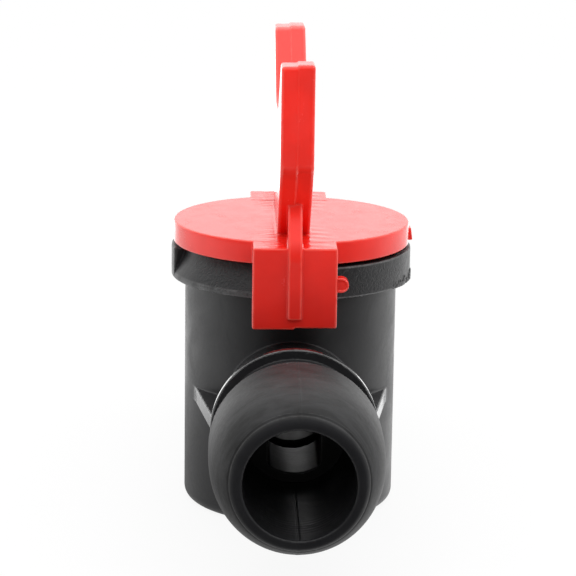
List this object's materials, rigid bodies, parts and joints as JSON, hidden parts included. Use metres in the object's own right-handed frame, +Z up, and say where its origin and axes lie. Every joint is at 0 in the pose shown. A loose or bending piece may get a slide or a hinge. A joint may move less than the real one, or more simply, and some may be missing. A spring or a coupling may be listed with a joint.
{
  "type": "seacock valve",
  "caption": "In-line plastic seacock with barbed hose tails and a red clip-on cap handle that turns a barrel plug a quarter turn.",
  "frame": {"origin": "centre of the barrel's flat underside", "axes": "+Z up along the plug's turning axis, the water passage lies along Y with the front tail towards -Y, +X to the right seen from the front"},
  "size_m": [0.058, 0.174, 0.1118],
  "materials": {
    "body_nylon": "satin black moulded nylon, fine mould texture",
    "cap_plastic": "semi-gloss red moulding with soft flow marks",
    "plug_plastic": "smooth black moulding",
    "seal_rubber": "greased black nitrile",
    "washer_plastic": "natural slippery plastic"
  },
  "bodies": {
    "housing": {"valve_body": "body_nylon", "front_port_seal": "seal_rubber", "rear_port_seal": "seal_rubber", "thrust_washer": "washer_plastic"},
    "rotor": {"handle_cap": "cap_plastic", "barrel_plug": "plug_plastic", "upper_o_ring": "seal_rubber", "lower_o_ring": "seal_rubber"}
  },
  "joints": [
    {"name": "handle_turn", "type": "hinge", "parent": "housing", "child": "rotor", "pos_m": [0, 0, 0.0296], "axis": [0, 0, 1], "range_deg": [0, 90]}
  ]
}
